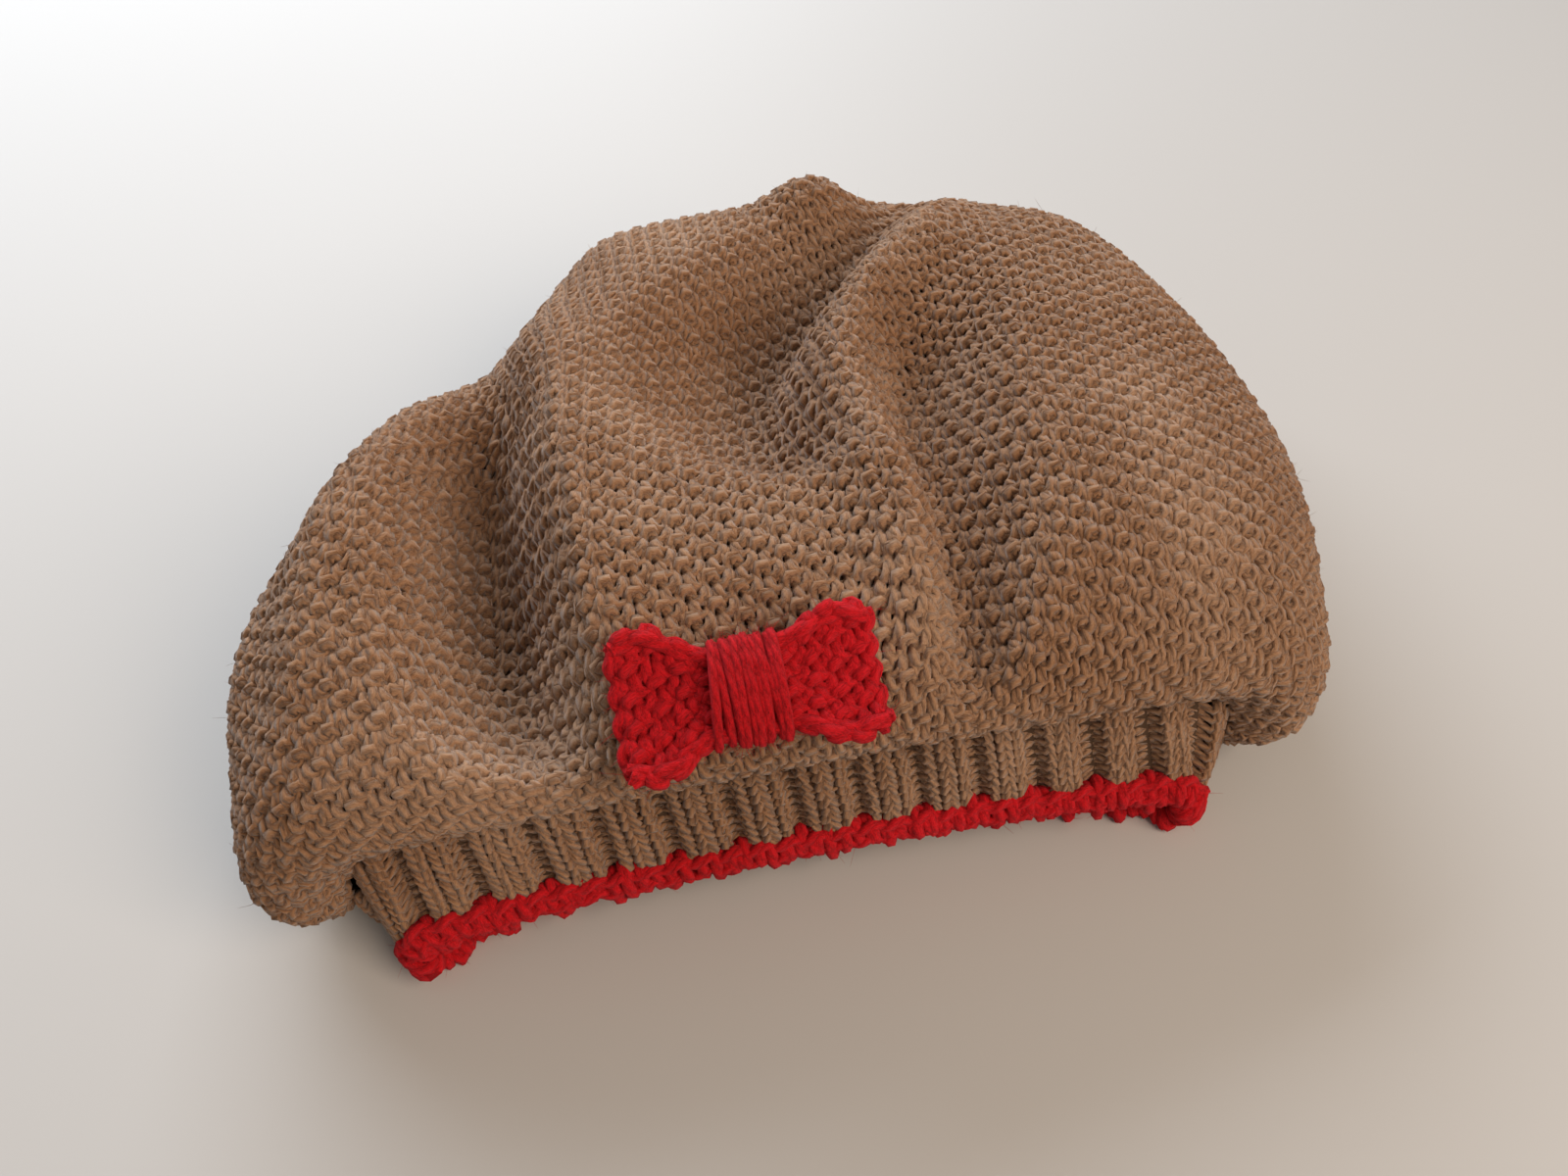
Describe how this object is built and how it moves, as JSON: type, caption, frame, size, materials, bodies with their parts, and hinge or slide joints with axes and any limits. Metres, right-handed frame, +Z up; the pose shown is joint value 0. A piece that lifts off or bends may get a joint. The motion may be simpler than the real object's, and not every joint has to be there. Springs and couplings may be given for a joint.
{
  "type": "knitted hat",
  "caption": "Slouchy knitted hat lying on its side, with a ribbed band, a crocheted edging and a small bow on its front.",
  "frame": {"origin": "middle of the underside of the hat's box as it lies", "axes": "+X along the mouth to its right as the picture shows it, +Y from the mouth to the crown's closed end, +Z up from the surface it lies on"},
  "size_m": [0.2322, 0.1874, 0.0735],
  "materials": {
    "taupe_knit": "matt wool-like yarn",
    "taupe_rib": "matt wool-like yarn",
    "red_crochet": "matt wool-like yarn",
    "red_knit": "matt wool-like yarn",
    "red_wound_yarn": "matt wool-like yarn"
  },
  "bodies": {
    "root": {"crown": "taupe_knit", "rib_band": "taupe_rib", "red_edging": "red_crochet", "bow_strip": "red_knit", "bow_knot": "red_wound_yarn"}
  },
  "joints": []
}
